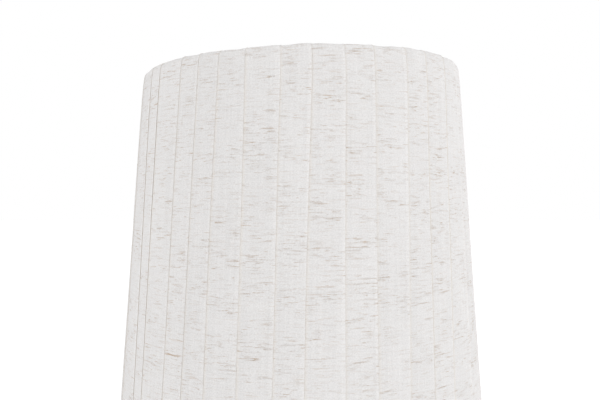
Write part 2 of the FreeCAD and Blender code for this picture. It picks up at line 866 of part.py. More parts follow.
def make_branch(side, height, turn, reach):
    """A block, its side tube, the lampholder and its lamp."""
    make_branch_block(f"{side}_branch_block", height, turn)
    make_side_tube(f"{side}_side_tube", height, turn)
    back = FreeCAD.Rotation(FreeCAD.Vector(0, 0, 1), 90)
    set_screws(f"{side}_block_screws", BRANCH_RADIUS, height, turn * back, BRANCH_SCREW_SPACING)
    holder = {"x": reach, "z": f"({height} + {HOLDER_BOTTOM})"}
    make_holder_cap(f"{side}_holder_cap", holder)
    make_holder_skirt(f"{side}_holder_skirt", holder)
    make_holder_insert(f"{side}_holder_insert", holder)
    make_screw_shell(f"{side}_screw_shell", holder)
    make_centre_contact(f"{side}_centre_contact", holder)
    bulb = {"x": reach, "z": f"({height} + {HOLDER_BOTTOM} + {BULB_BOTTOM})"}
    make_bulb_tip(f"{side}_bulb_tip", bulb)
    make_bulb_insulator(f"{side}_bulb_insulator", bulb)
    make_bulb_cap(f"{side}_bulb_cap", bulb)
    make_bulb_neck(f"{side}_bulb_neck", bulb)
    make_bulb_globe(f"{side}_bulb_globe", bulb)


# ---------------------------------------------------------------- the wiring inside the stem

SPLICE_TOP = f"(lower_branch_height - {BRANCH_WEB} - splice_drop)"
SPLICE_BOTTOM = f"({SPLICE_TOP} - splice_length)"
WIRE_RADIUS = "(wire_diameter / 2)"
WIRE_OFFSET = f"({WIRE_RADIUS} + layer_gap)"


def make_supply_flex():
    """From the gland's inner end, bending up inside the collar, to the splice below the block."""
    body = new_body("supply_flex")
    start = f"({GLAND_FACE} - {GLAND_LENGTH} - fit_gap)"
    spine = draw(
        body,
        "supply_flex_spine",
        "YZ_Plane",
        [(start, FLEX_AXIS), ("0", f"({FLEX_AXIS} + {start})", start, "right"), ("0", SPLICE_BOTTOM)],
        closed=False,
    )
    section = [("0", FLEX_AXIS, "(flex_diameter / 2)")]
    pipe(body, draw_circles(body, "supply_flex_section", "XZ_Plane", section, f"-{start}"), spine)


def make_wire_splice():
    """The crimped joint where the flex divides between the two lampholders."""
    turned(
        "wire_splice",
        [
            ("0", f"({SPLICE_BOTTOM} + fit_gap)"),
            ("(splice_diameter / 2 - splice_round)", f"({SPLICE_BOTTOM} + fit_gap)"),
            ("(splice_diameter / 2)", f"({SPLICE_BOTTOM} + splice_round + fit_gap)", "splice_round", "left"),
            ("(splice_diameter / 2)", f"({SPLICE_TOP} - splice_round)"),
            ("(splice_diameter / 2 - splice_round)", SPLICE_TOP, "splice_round", "left"),
            ("0", SPLICE_TOP),
        ],
    )


def make_branch_wire(label, height, turn):
    """A pair of wires from the splice into the block, along the side tube and up to the insert."""
    body = new_body(label, turn=turn)
    low = f"({SPLICE_TOP} + fit_gap)"
    bend_start = f"({height} - wire_bend)"
    wire_end = f"({height} + {HOLDER_BOTTOM} + {INSERT_BOTTOM} + insert_height / 2 - layer_gap)"
    spine = draw(
        body,
        f"{label}_spine",
        "XZ_Plane",
        [
            (WIRE_OFFSET, low),
            (WIRE_OFFSET, bend_start),
            (f"({WIRE_OFFSET} + wire_bend)", height, "wire_bend", "right"),
            ("(side_reach - side_bend)", height),
            ("side_reach", f"({height} + side_bend)", "side_bend", "left"),
            ("side_reach", wire_end),
        ],
        closed=False,
    )
    section = [(WIRE_OFFSET, "0", WIRE_RADIUS)]
    pipe(body, draw_circles(body, f"{label}_section", "XY_Plane", section, low), spine)


# ---------------------------------------------------------------- the seat and the finial nut

NUT_BOTTOM = f"({SEAT_TOP} + washer_thickness + 2 * weld_gap)"


def make_shade_seat():
    """A turned plug in the top of the stem: the shade's washer lies on its flange, round the pin."""
    plug = f"({STEM_BORE} - fit_gap)"
    flange = "(seat_diameter / 2)"
    turned(
        "shade_seat",
        [
            ("0", f"({STEM_TOP} - plug_length)"),
            (f"({plug} - 1)", f"({STEM_TOP} - plug_length)"),
            (plug, f"({STEM_TOP} - plug_length + 1)"),
            (plug, f"({STEM_TOP} + fit_gap)"),
            (flange, f"({STEM_TOP} + fit_gap)"),
            (flange, SEAT_TOP),
            (PIN_RADIUS, SEAT_TOP),
            (PIN_RADIUS, f"({SEAT_TOP} + pin_height - 1)"),
            (f"({PIN_RADIUS} - 1)", f"({SEAT_TOP} + pin_height)"),
            ("0", f"({SEAT_TOP} + pin_height)"),
        ],
    )


def make_finial():
    """A domed nut with a fluted grip, screwed down on the pin over the washer."""
    bore = f"({PIN_RADIUS} + thread_play)"
    grip = "(finial_diameter / 2)"
    grip_top = "(finial_height / 2)"
    dome = "(finial_height / 2)"
    shoulder = f"({grip} - {dome})"
    body = turned(
        "finial",
        [
            (bore, "0"),
            (f"({grip} - 1)", "0"),
            (grip, "1", "1", "left"),
            (grip, grip_top),
            (shoulder, f"({grip_top} + {dome})", dome, "left"),
            ("0", f"({grip_top} + {dome})"),
            ("0", f"(pin_height - washer_thickness + 1)"),
            (bore, f"(pin_height - washer_thickness + 1)"),
        ],
        z=NUT_BOTTOM,
    )
    flute = draw_circles(body, "flute", "XY_Plane", [(grip, "0", "(flute_diameter / 2)")], grip_top)
    polar(body, pocket(body, flute, grip_top), "flute_count")


# ---------------------------------------------------------------- the shade's frame


def make_spider():
    """A washer with three wires that run out to the carrier ring."""
    rim = "(washer_diameter / 2)"
    body = new_body("spider_washer")
    rims = [("0", "0", rim), ("0", "0", f"({PIN_RADIUS} + washer_play)")]
    pad(body, draw_circles(body, "washer_rims", "XY_Plane", rims, SEAT_TOP), "washer_thickness")

    arms = new_body("spider_arms")
    start = "(seat_diameter / 2 + arm_start)"
    end = f"({hoop_radius(SPIDER_LEVEL)} - hoop_wire / 2 - weld_gap)"
    section = draw_circles(arms, "arm_section", "YZ_Plane", [("0", SPIDER_LEVEL, "(arm_wire / 2)")], start)
    polar(arms, pad(arms, section, f"{end} - {start}"), "arm_count")


def make_struts():
    """Straight wires from the bottom ring to the top ring, spaced evenly."""
    body = new_body("frame_struts")
    low = f"({BOTTOM_RING} + ring_wire / 2 + weld_gap)"
    high = f"({TOP_RING} - ring_wire / 2 - weld_gap)"
    ends = [
        draw_circles(body, name, "XY_Plane", [(cone(height, RING_DEPTH), "0", "(strut_wire / 2)")], height)
        for name, height in (("strut_foot", low), ("strut_head", high))
    ]
    polar(body, loft(body, ends, "strut"), "strut_count")


def make_frame():
    wire_ring("top_ring", TOP_RING_RADIUS, TOP_RING, "ring_wire")
    wire_ring("carrier_ring", hoop_radius(SPIDER_LEVEL), SPIDER_LEVEL, "hoop_wire")
    wire_ring("upper_hoop", hoop_radius("upper_hoop_height"), "upper_hoop_height", "hoop_wire")
    wire_ring("lower_hoop", hoop_radius("lower_hoop_height"), "lower_hoop_height", "hoop_wire")
    wire_ring("bottom_ring", BOTTOM_RING_RADIUS, BOTTOM_RING, "ring_wire")
    make_struts()
    make_spider()


# ---------------------------------------------------------------- the shade's lining and cloth


def make_lining():
    """A stiff translucent cone between the rings and the cloth."""
    inner = f"({LINING_DEPTH} + lining_thickness)"
    turned(
        "shade_lining",
        [
            (cone(BOTTOM_RING, inner), BOTTOM_RING),
            (cone(BOTTOM_RING, LINING_DEPTH), BOTTOM_RING),
            (cone(TOP_RING, LINING_DEPTH), TOP_RING),
            (cone(TOP_RING, inner), TOP_RING),
        ],
    )


def pleat_section(body, name, height, wall, depth, sunk):
    """One pleat at one height, in two flats: it starts low, just over the cloth wall, and rises to its
    crest. wall is the outside radius of the cloth there, depth is the crest's height over it and sunk
    is how far the section reaches into it. The inner flats only touch that depth, from outside."""
    half = "(180 / pleat_count)"
    inner = f"(({wall} - {sunk}) / cos({half} / 2))"
    low = f"({wall} + cloth_thickness)"
    crest = f"({wall} + {depth})"
    return draw(
        body,
        name,
        "XY_Plane",
        [
            (f"({inner} * cos({half}))", f"(-{inner} * sin({half}))"),
            (inner, "0"),
            (f"({inner} * cos({half}))", f"({inner} * sin({half}))"),
            (f"({crest} * cos({half}))", f"({crest} * sin({half}))"),
            (f"(({low} + {crest}) / 2)", "0"),
            (f"({low} * cos({half}))", f"(-{low} * sin({half}))"),
        ],
        height,
    )


def make_roll(body, name, ring_radius, ring_height, way):
    """The cloth turned over a ring and tucked in behind it. way is + at the rim and - at the hem."""
    tuck_height = f"({ring_height} {'-' if way == '+' else '+'} hem_turn)"
    lean = f"({way}1 * hem_turn * {SLOPE})"
    left, right = ("left", "right") if way == "+" else ("right", "left")
    return revolve(
        body,
        draw(
            body,
            name,
            "XZ_Plane",
            [
                (f"({ring_radius} + {ROLL})", ring_height),
                (ring_radius, f"({ring_height} {way} {ROLL})", ROLL, left),
                (f"({ring_radius} - {ROLL})", ring_height, ROLL, left),
                (f"({ring_radius} - {ROLL} + {lean})", tuck_height),
                (f"({ring_radius} - {ROLL_BORE} + {lean})", tuck_height),
                (f"({ring_radius} - {ROLL_BORE})", ring_height),
                (ring_radius, f"({ring_height} {way} {ROLL_BORE})", ROLL_BORE, right),
                (f"({ring_radius} + {ROLL_BORE})", ring_height, ROLL_BORE, right),
            ],
        ),
    )


def make_pleated_cover():
    """The linen: lapped pleats from rim to hem, the free edge of each standing over the start of the
    next, and the cloth rolled over the top and bottom rings, where the pleats flatten out."""
    body = new_body("pleated_cover")
    shrunk = "(cloth_thickness + pleat_rise / 2)"
    ends = (("rim", TOP_RING_RADIUS, TOP_RING, "+"), ("hem", BOTTOM_RING_RADIUS, BOTTOM_RING, "-"))
    strip_ends = []
    for name, ring_radius, height, _ in ends:
        wall = f"({ring_radius} + {ROLL})"
        strip_ends.append(pleat_section(body, f"{name}_end", height, wall, PLEAT_DEPTH, "cloth_thickness"))
    pleats = [loft(body, strip_ends, "strip")]
    for name, ring_radius, ring_height, way in ends:
        make_roll(body, f"{name}_roll", ring_radius, ring_height, way)
        sections = []
        for turn, depth in (("0", PLEAT_DEPTH), ("full_turn", PLEAT_DEPTH), ("fading_turn", shrunk)):
            height = f"({ring_height} {way} {ROLL} * sin({turn}))"
            wall = f"({ring_radius} + {ROLL} * cos({turn}))"
            label = f"{name}_{turn}"
            sections.append(pleat_section(body, label, height, wall, depth, "(cloth_thickness / 2)"))
        pleats.append(loft(body, sections, f"{name}_pleat"))
    doc.recompute()
    pattern = body.newObject("PartDesign::PolarPattern", "pleats")
    pattern.Originals = pleats
    pattern.Axis = (origin_item(body, "Z_Axis"), [""])
    pattern.Angle = 360
    pattern.setExpression("Occurrences", sized("pleat_count"))
    body.Tip = pattern


# ---------------------------------------------------------------- the whole lamp


def main():
    ahead = FreeCAD.Rotation()
    behind = FreeCAD.Rotation(FreeCAD.Vector(0, 0, 1), 180)
    make_base_plate()
    make_rubber_pads()
    make_base_screw()
    make_stem_collar()
    make_flex_gland()
    set_screws("collar_screw", COLLAR_RADIUS, SET_SCREW_LEVEL, ahead)
    make_stems()
    make_branch("lower", "lower_branch_height", ahead, "side_reach")
    make_branch("upper", "upper_branch_height", behind, "-side_reach")
    make_supply_flex()
    make_wire_splice()
    make_branch_wire("lower_branch_wire", "lower_branch_height", ahead)
    make_branch_wire("upper_branch_wire", "upper_branch_height", behind)
    make_shade_seat()
    make_finial()
    make_frame()
    make_lining()
    make_pleated_cover()
    doc.recompute()

    for item in doc.Objects:
        if {"Invalid", "Error"} & set(item.State):
            raise RuntimeError(f"{item.Name} failed: {item.State}")
    os.makedirs("parts", exist_ok=True)
    for body in SUB_PARTS:
        shape = body.Shape
        if shape.isNull() or not shape.isValid() or not shape.Solids:
            raise RuntimeError(f"{body.Label} has no sound shape")
        shape.exportStep(f"parts/{body.Label}.step")
        print(f"{body.Label}: {len(shape.Solids)} solid(s), {shape.Volume / 1000:.2f} cm3")


main()
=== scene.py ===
"""Dresses the column floor lamp: its pleated linen cover, the finish of every other piece, and the stage.

The cover is one strip of slubby linen, laid in knife pleats down the wire frame and rolled over the
rings at its rim and hem. Its pleats follow the ones in the photograph where those can be seen.
Lengths are in metres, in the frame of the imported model.
"""

import math
import random

import bmesh
import bpy
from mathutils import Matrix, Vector


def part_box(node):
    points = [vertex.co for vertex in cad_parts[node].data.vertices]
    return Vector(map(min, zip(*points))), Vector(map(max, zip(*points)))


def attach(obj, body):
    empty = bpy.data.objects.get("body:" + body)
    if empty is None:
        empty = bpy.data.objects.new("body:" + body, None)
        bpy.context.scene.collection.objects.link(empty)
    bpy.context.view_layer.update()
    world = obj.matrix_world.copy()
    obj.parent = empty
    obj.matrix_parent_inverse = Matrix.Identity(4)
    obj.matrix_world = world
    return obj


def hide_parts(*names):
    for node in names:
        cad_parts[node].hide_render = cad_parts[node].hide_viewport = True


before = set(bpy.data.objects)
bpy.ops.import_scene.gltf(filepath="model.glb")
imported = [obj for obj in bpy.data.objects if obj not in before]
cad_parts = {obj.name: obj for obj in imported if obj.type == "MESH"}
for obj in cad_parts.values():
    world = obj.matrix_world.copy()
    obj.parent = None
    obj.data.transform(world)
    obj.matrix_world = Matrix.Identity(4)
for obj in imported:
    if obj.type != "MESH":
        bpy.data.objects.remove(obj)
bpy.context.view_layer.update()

bl_info = {
    "name": "Column Floor Lamp Dressing",
    "version": (1, 0, 0),
    "blender": (4, 5, 0),
    "location": "3D View > Sidebar > Lamp",
    "description": "Linen cover, finishes and stage for a column floor lamp",
    "category": "Add Mesh",
}

MM = 0.001

# The photograph, and the camera that fits it: level, with the shade's top ring just over its horizon.
PHOTO_SIZE = (600, 400)
SHADE_AXIS_PIXEL = 301
FOCAL_PIXELS = 721
CAMERA_DISTANCE = 0.581
CAMERA_HEIGHT = 1.101

# Where the fold edges cross two rows of the photograph, from left to right.
SEAM_ROWS = (106, 395)
UPPER_SEAM_PIXELS = (148.3, 156.3, 177.9, 195, 215.7, 243.2, 280, 311.3, 345.8, 376.5, 409, 428.8, 447.3)
LOWER_SEAM_PIXELS = (130, 137.2, 158, 176.2, 199, 233.8, 269.8, 303.2, 345.4, 380.3, 413.6, 438, 457.8)
# How high those folds stand, as shares of the rise.
SEAM_RISES = (0.8, 0.8, 0.4, 0.35, 0.5, 0.55, 0.7, 1.0, 0.85, 0.5, 0.5, 0.4, 0.4)
# The same for the fold just round the left edge, which lies flat.
EDGE_RISE = 0.3


# ---------------------------------------------------------------- what a user can change


class LampLinen(bpy.types.PropertyGroup):
    """The linen and how it is pleated."""

    pleats: bpy.props.IntProperty(name="Pleats", description="Pleats round the shade", default=34, min=16)
    rise: bpy.props.FloatProperty(
        name="Rise", description="How far a fold stands over the next pleat", default=0.5 * MM, unit="LENGTH"
    )
    cloth: bpy.props.FloatProperty(
        name="Cloth", description="Thickness of the linen", default=0.3 * MM, unit="LENGTH"
    )
    loft: bpy.props.FloatProperty(
        name="Loft", description="How far the pleats stand off the lining", default=1.1 * MM, unit="LENGTH"
    )
    rim_slant: bpy.props.FloatProperty(
        name="Rim slant", description="How far the rim rises to the right of the middle", default=3.9 * MM,
        unit="LENGTH",
    )
    white: bpy.props.FloatVectorProperty(
        name="Linen", description="Colour of the bleached threads", subtype="COLOR", size=3,
        default=(0.754, 0.742, 0.737),
    )
    slub: bpy.props.FloatVectorProperty(
        name="Slub", description="Colour of the unbleached slubs", subtype="COLOR", size=3,
        default=(0.475, 0.33, 0.21),
    )
    # Painted shade: the gap colour is a warm tint painted into the slit deep under each fold, where shade
    # falls.
    gap: bpy.props.FloatVectorProperty(
        name="Gap", description="Colour deep under a fold", subtype="COLOR", size=3,
        default=(0.80, 0.74, 0.66),
    )


class LampMetal(bpy.types.PropertyGroup):
    """Colours of the foot, the stem and the lampholders."""

    foot: bpy.props.FloatVectorProperty(
        name="Foot", description="Powder coat on the foot", subtype="COLOR", size=3,
        default=(0.70, 0.68, 0.64),
    )
    steel: bpy.props.FloatVectorProperty(
        name="Steel", description="Brushed steel of the stem", subtype="COLOR", size=3,
        default=(0.56, 0.55, 0.53),
    )
    brass: bpy.props.FloatVectorProperty(
        name="Brass", description="Screw shells and contacts", subtype="COLOR", size=3,
        default=(0.62, 0.45, 0.19),
    )
    plastic: bpy.props.FloatVectorProperty(
        name="Plastic", description="Moulded lampholders", subtype="COLOR", size=3,
        default=(0.78, 0.77, 0.74),
    )


class LampStage(bpy.types.PropertyGroup):
    """The floor and the lamps of the studio."""

    floor: bpy.props.FloatVectorProperty(
        name="Floor", description="Colour of the floor", subtype="COLOR", size=3,
        default=(0.88, 0.88, 0.88),
    )
    ambient: bpy.props.FloatProperty(
        name="Ambient", description="Strength of the light from all round", default=0.65, min=0
    )
    key_power: bpy.props.FloatProperty(
        name="Key", description="Power of each large soft lamp", default=26, unit="POWER"
    )


# ---------------------------------------------------------------- shader maths


class Shade:
    """One socket of a shader, with Python's operators on it. Each operator adds its Math node."""

    def __init__(self, tree, socket):
        self.tree = tree
        self.socket = socket

    def math(self, operation, *others):
        return self.tree.node("ShaderNodeMath", {"operation": operation}, [self, *others])

    def __add__(self, other):
        return self.math("ADD", other)

    def __sub__(self, other):
        return self.math("SUBTRACT", other)

    def __mul__(self, other):
        return self.math("MULTIPLY", other)

    def __rsub__(self, other):
        return self.tree.node("ShaderNodeMath", {"operation": "SUBTRACT"}, [other, self])

    __radd__ = __add__
    __rmul__ = __mul__

    def sine(self):
        return self.math("SINE")

    def between(self, low, high):
        """0 up to low and 1 from high, smoothly."""
        settings = {"interpolation_type": "SMOOTHSTEP"}
        values = {"Value": self, "From Min": low, "From Max": high}
        return self.tree.node("ShaderNodeMapRange", settings, values)


class NodeTree:
    """The nodes of a material or of the world."""

    def __init__(self, owner):
        owner.use_nodes = True
        self.nodes = owner.node_tree.nodes
        self.links = owner.node_tree.links

    def node(self, kind, settings, values, output=0):
        """Adds a node: its settings first, then the values or links of its sockets."""
        made = self.nodes.new(kind)
        for name, setting in settings.items():
            setattr(made, name, setting)
        pairs = values.items() if isinstance(values, dict) else enumerate(values)
        for socket, value in pairs:
            self.put(made.inputs[socket], value)
        return Shade(self, made.outputs[output])

    def put(self, socket, value):
        if isinstance(value, Shade):
            self.links.new(value.socket, socket)
        elif hasattr(value, "__len__") and socket.type == "RGBA":
            socket.default_value = (*value[:3], 1)
        else:
            socket.default_value = value

    def rays(self, *kinds):
        """1 for the rays that are named, 0 for the rest."""
        source = self.nodes.new("ShaderNodeLightPath")
        total = Shade(self, source.outputs[kinds[0]])
        for kind in kinds[1:]:
            total = total.math("MAXIMUM", Shade(self, source.outputs[kind]))
        return total


class Finish(NodeTree):
    """A material of one Principled shader."""

    # The Mix node's colour sockets, which share their names with its other ones.
    MIX_FIRST, MIX_SECOND, MIX_RESULT = 6, 7, 2

    def __init__(self, name, **constants):
        self.material = bpy.data.materials.new(name)
        super().__init__(self.material)
        self.shader = self.nodes["Principled BSDF"]
        for socket, value in constants.items():
            label = socket.replace("_", " ").title().replace("Ior", "IOR")
            self.shader.inputs[label].default_value = value

    def place(self, scale=(1, 1, 1), start=(0, 0, 0), uv=None):
        """Object coordinates, or a UV map's, through a Mapping node."""
        if uv:
            source = self.node("ShaderNodeUVMap", {"uv_map": uv}, {})
        else:
            source = self.node("ShaderNodeTexCoord", {}, {}, output="Object")
        values = {"Vector": source, "Location": start, "Scale": scale}
        return self.node("ShaderNodeMapping", {}, values)

    def noise(self, place, detail, flat=False, twist=0.0):
        settings = {"noise_dimensions": "2D" if flat else "3D"}
        values = {"Vector": place, "Scale": 1.0, "Detail": detail, "Distortion": twist}
        return self.node("ShaderNodeTexNoise", settings, values)

    def mix(self, factor, first, second, way="MIX"):
        made = self.nodes.new("ShaderNodeMix")
        made.data_type = "RGBA"
        made.blend_type = way
        self.put(made.inputs["Factor"], factor)
        self.put(made.inputs[self.MIX_FIRST], first)
        self.put(made.inputs[self.MIX_SECOND], second)
        return Shade(self, made.outputs[self.MIX_RESULT])

    def attribute(self, name):
        return self.node("ShaderNodeAttribute", {"attribute_name": name}, {}, output="Fac")

    def colour(self, value):
        self.put(self.shader.inputs["Base Color"], value)

    def rough(self, value):
        self.put(self.shader.inputs["Roughness"], value)

    def bump(self, height, depth, strength):
        values = {"Height": height, "Distance": depth, "Strength": strength}
        self.put(self.shader.inputs["Normal"], self.node("ShaderNodeBump", {}, values))


# ---------------------------------------------------------------- finishes


# The slub strands: how often they come across and down a metre, where they start, the width of their
# band of the noise and how strongly they show.
SLUB_STRANDS = (
    ((17, 470, 1), (0, 0, 0), 0.013, 1.0),
    ((23, 680, 1), (3, 8, 0), 0.013, 0.9),
    ((34, 900, 1), (7, 1, 0), 0.012, 0.7),
    ((30, 1150, 1), (4, 5, 0), 0.012, 0.6),
)

# Threads in a metre of the cloth, either way.
THREADS = 1250
# How strongly each pattern shows in the linen's tone, and how strongly the painted highlight on a fold and
# the painted shade on the cloth under it show; how strongly the unbleached colour shows in a slub and in a
# knot, and how high each pattern stands in the bump, whose own height comes last.
TONE = {"warp": 0.07, "weft": 0.06, "grain": 0.22, "broad": 0.05, "fold": 0.06, "under": 0.012}
SLUB_COLOUR, KNOT_COLOUR = 0.62, 0.26
RELIEF = {"warp": 1.2, "weft": 1.6, "broad": 4.0, "slub": 0.75, "knot": 1.4}
LINEN_RELIEF = 0.10 * MM


def linen(settings):
    """Bleached linen: a plain weave of uneven threads. Its unbleached slubs are thin broken strands
    along the weft, which come in crowds."""
    cloth = Finish("slub_linen", roughness=0.92, specular_ior_level=0.2, sheen_weight=0.12)

    def pattern(scale, detail, start=(0, 0, 0), twist=0.0):
        return cloth.noise(cloth.place(scale, start, "cloth"), detail, flat=True, twist=twist)

    warp_threads = pattern((520, 9, 1), 1)
    weft_threads = pattern((16, 640, 1), 2)
    grain = pattern((1000, 1150, 1), 1)
    broad = pattern((26, 14, 1), 3)
    crowds = pattern((34, 80, 1), 2, start=(5, 3, 0))
    breaks = pattern((105, 700, 1), 2, start=(2, 6, 0))
    knots = pattern((300, 1150, 1), 1, start=(1, 2, 0))
    crowd = crowds.between(0.40, 0.62)
    slubs = 0.0
    for scale, start, width, strength in SLUB_STRANDS:
        strands = pattern(scale, 2, start=start, twist=0.3)
        thin = 1 - (strands - 0.5).math("ABSOLUTE").between(width * 0.3, width)
        slubs = thin * strength + slubs
    slubs = slubs * (crowd * 0.62 + 0.38) * breaks.between(0.46, 0.60)
    knot = knots.between(0.72, 0.84) * crowd
    # Marks for painted light: a highlight along each fold's edge, shade in the gap under the fold, and a
    # soft band of shade on the cloth that lies under it.
    fold = cloth.attribute("fold")
    gap = cloth.attribute("gap")
    under = cloth.attribute("under")
    tone = (warp_threads - 0.5) * TONE["warp"] + (weft_threads - 0.5) * TONE["weft"]
    tone = tone + (grain - 0.5) * TONE["grain"] + (broad - 0.5) * TONE["broad"] + 1.0
    # Painted highlight on the fold and painted shade on the cloth under it.
    tone = tone + fold * TONE["fold"] - under * TONE["under"]
    ground = cloth.mix(1.0, settings.white, tone, "MULTIPLY")
    marked = cloth.mix(slubs * SLUB_COLOUR + knot * KNOT_COLOUR, ground, settings.slub)
    # The gap under each fold gets painted shade: a warm tint.
    cloth.colour(cloth.mix(gap, marked, settings.gap))
    turns = 2 * math.pi * THREADS
    place = cloth.place((turns, turns, 1), uv="cloth")
    across = cloth.node("ShaderNodeSeparateXYZ", {}, [place], output="X")
    along = cloth.node("ShaderNodeSeparateXYZ", {}, [place], output="Y")
    weave = across.sine() * along.sine() * 0.5
    height = weave + warp_threads * RELIEF["warp"] + weft_threads * RELIEF["weft"] + broad * RELIEF["broad"]
    height = height + slubs * RELIEF["slub"] + knot * RELIEF["knot"]
    cloth.bump(height, LINEN_RELIEF, 0.8)
    return cloth.material


def powder_coat(name, colour, grain):
    """Baked powder coat: a fine orange-peel skin, with painted shade that makes it a little darker in its
    pits.
    """
    coat = Finish(name, roughness=0.5, coat_weight=0.15)
    peel = coat.noise(coat.place((grain,) * 3), detail=3)
    haze = coat.noise(coat.place((14, 14, 14)), detail=3)
    # The peel's low spots are darkened: painted shade in the pits.
    coat.colour(coat.mix(1.0, colour, (peel - 0.5) * 0.14 + (haze - 0.5) * 0.06 + 1.0, "MULTIPLY"))
    coat.rough(haze * 0.12 + 0.40)
    coat.bump(peel, 0.06 * MM, 0.6)
    return coat.material


def brushed(name, colour, long_axis=2):
    """Steel brushed along one axis, with finger haze."""
    metal = Finish(name, metallic=1.0, roughness=0.3)
    scale = [2600.0, 2600.0, 2600.0]
    scale[long_axis] = 30.0
    lines = metal.noise(metal.place(tuple(scale)), detail=3)
    haze = metal.noise(metal.place((22, 22, 22)), detail=4)
    metal.colour(metal.mix(1.0, colour, (lines - 0.5) * 0.30 + (haze - 0.5) * 0.10 + 1.0, "MULTIPLY"))
    metal.rough(lines * 0.16 + haze * 0.14 + 0.18)
    metal.bump(lines, 0.015 * MM, 0.5)
    return metal.material


def moulded(name, colour, roughness=0.42, grain=900):
    """Moulded plastic or rubber, with a fine spark-eroded grain."""
    resin = Finish(name, roughness=roughness, coat_weight=0.05)
    skin = resin.noise(resin.place((grain,) * 3), detail=2)
    flow = resin.noise(resin.place((35, 35, 12)), detail=2, twist=0.6)
    resin.colour(resin.mix(1.0, colour, (skin - 0.5) * 0.08 + (flow - 0.5) * 0.05 + 1.0, "MULTIPLY"))
    resin.rough(skin * 0.10 + flow * 0.06 + roughness - 0.08)
    resin.bump(skin, 0.03 * MM, 0.5)
    return resin.material


def pressed_metal(name, colour, roughness):
    """Thin drawn brass or nickel, with stains from handling."""
    metal = Finish(name, metallic=1.0, roughness=roughness)
    stain = metal.noise(metal.place((160, 160, 60)), detail=4)
    rings = metal.noise(metal.place((120, 120, 3200)), detail=2)
    metal.colour(metal.mix(stain.between(0.35, 0.75), colour, tuple(0.62 * part for part in colour)))
    metal.rough(stain * 0.22 + rings * 0.10 + roughness - 0.12)
    metal.bump(rings, 0.012 * MM, 0.6)
    return metal.material


def opal_glass():
    """Satin white glass, faintly uneven inside."""
    glass = Finish("opal_glass", roughness=0.22, coat_weight=0.3)
    cloud = glass.noise(glass.place((55, 55, 40)), detail=3)
    glass.colour(glass.mix(cloud.between(0.3, 0.7), (0.80, 0.79, 0.765), (0.75, 0.74, 0.71)))
    glass.rough(cloud * 0.10 + 0.18)
    return glass.material


def lining_film():
    """Stiff white film, faintly mottled, with the pleats' shadow on it in upright bands."""
    film = Finish("lining_film", roughness=0.45)
    mottle = film.noise(film.place((240, 240, 240)), detail=3)
    bands = film.noise(film.place((42, 42, 1.2)), detail=1)
    tone = (mottle - 0.5) * 0.06 + (bands - 0.5) * 0.16 + 1.0
    film.colour(film.mix(1.0, (0.76, 0.74, 0.69), tone, "MULTIPLY"))
    film.rough(mottle * 0.15 + 0.36)
    film.bump(mottle, 0.03 * MM, 0.5)
    return film.material


def dress(material, *nodes):
    """Gives the CAD nodes that finish."""
    for name in nodes:
        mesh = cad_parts[name].data
        mesh.materials.clear()
        mesh.materials.append(material)


def both(*pieces):
    """The names of a piece on the lower and on the upper branch."""
    return [f"{side}_{piece}" for side in ("lower", "upper") for piece in pieces]


# ---------------------------------------------------------------- the linen cover


# How far the cloth is turned in at the rim and the hem.
HEM_TURN = 12 * MM
# The cloth that a fold hides between the two pleats that meet there.
HIDDEN_CLOTH = 2 * MM
# The rim's slant fades out this far below it, and lifts the whole rim by this share of itself.
SLANT_REACH = 50 * MM
SLANT_LIFT = 0.08
# The rim's bumps: how many go round it, their height and where they start.
RIM_BUMPS = ((9, 0.25 * MM, 1.3), (23, 0.22 * MM, 0.4), (47, 0.16 * MM, 2.1))


class Profile:
    """The cover's section: from the tuck inside the rim, over the top ring, down the cone, round the
    bottom ring and up inside the hem. It gives each row's radius, height, normal and pleat depth."""

    # The share of the pleats' depth that is left in a flap and round a roll, what a roll's front adds to
    # that and how steeply, and what the wall has lost next to a roll and gets back over a reach.
    FLAP_DEPTH = 0.12
    ROLL_DEPTH = 0.35
    FRONT_GAIN, FRONT_CURVE = 0.3, 0.8
    WALL_LOSS, WALL_REACH = 0.35, 6 * MM
    # The height of the short rows next to a roll.
    SHORT_ROW = 3 * MM

    def __init__(self):
        top_low, top_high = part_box("top_ring")
        hem_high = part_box("bottom_ring")[1]
        wire = top_high.z - top_low.z
        self.top = Vector((top_high.x - wire / 2, top_high.z - wire / 2))
        self.hem = Vector((hem_high.x - wire / 2, hem_high.z - wire / 2))
        self.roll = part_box("pleated_cover")[1].z - self.top.y
        self.slope = (self.hem.x - self.top.x) / (self.top.y - self.hem.y)
        self.rows = []
        self.tuck(self.top, 1)
        self.turn(self.top, 1)
        self.wall()
        self.turn(self.hem, -1)
        self.tuck(self.hem, -1)

    def add(self, radius, height, out, up, depth):
        self.rows.append((radius, height, out, up, depth))

    def tuck(self, ring, way, steps=3):
        """The turned-in flap, from its raw edge at the rim and towards it at the hem."""
        for i in range(steps):
            drop = HEM_TURN * (1 - i / steps) if way > 0 else HEM_TURN * (i + 1) / steps
            radius = ring.x - self.roll + way * self.slope * drop
            self.add(radius, ring.y - way * drop, -1, 0, self.FLAP_DEPTH)

    def turn(self, ring, way, steps=12):
        """Half a turn over the top ring, or under the bottom one."""
        for i in range(steps + 1):
            angle = math.pi * (1 - i / steps) if way > 0 else -math.pi * i / steps
            out, up = math.cos(angle), math.sin(angle)
            depth = self.ROLL_DEPTH + self.FRONT_GAIN * max(0, out) ** self.FRONT_CURVE
            self.add(ring.x + self.roll * out, ring.y + self.roll * up, out, up, depth)

    def wall(self, steps=64, short=4):
        """Down the cone, with short rows next to the rim and the hem, where the pleats flatten."""
        height = self.top.y - self.hem.y
        near = [self.SHORT_ROW * (i + 1) / height for i in range(short)]
        even = [i / steps for i in range(1, steps)]
        for share in (*near, *even, *(1 - share for share in reversed(near))):
            place = self.top.lerp(self.hem, share)
            ends = min(self.top.y - place.y, place.y - self.hem.y)
            depth = 1 - self.WALL_LOSS * math.exp(-ends / self.WALL_REACH)
            self.add(place.x + self.roll, place.y, 1, self.slope, depth)


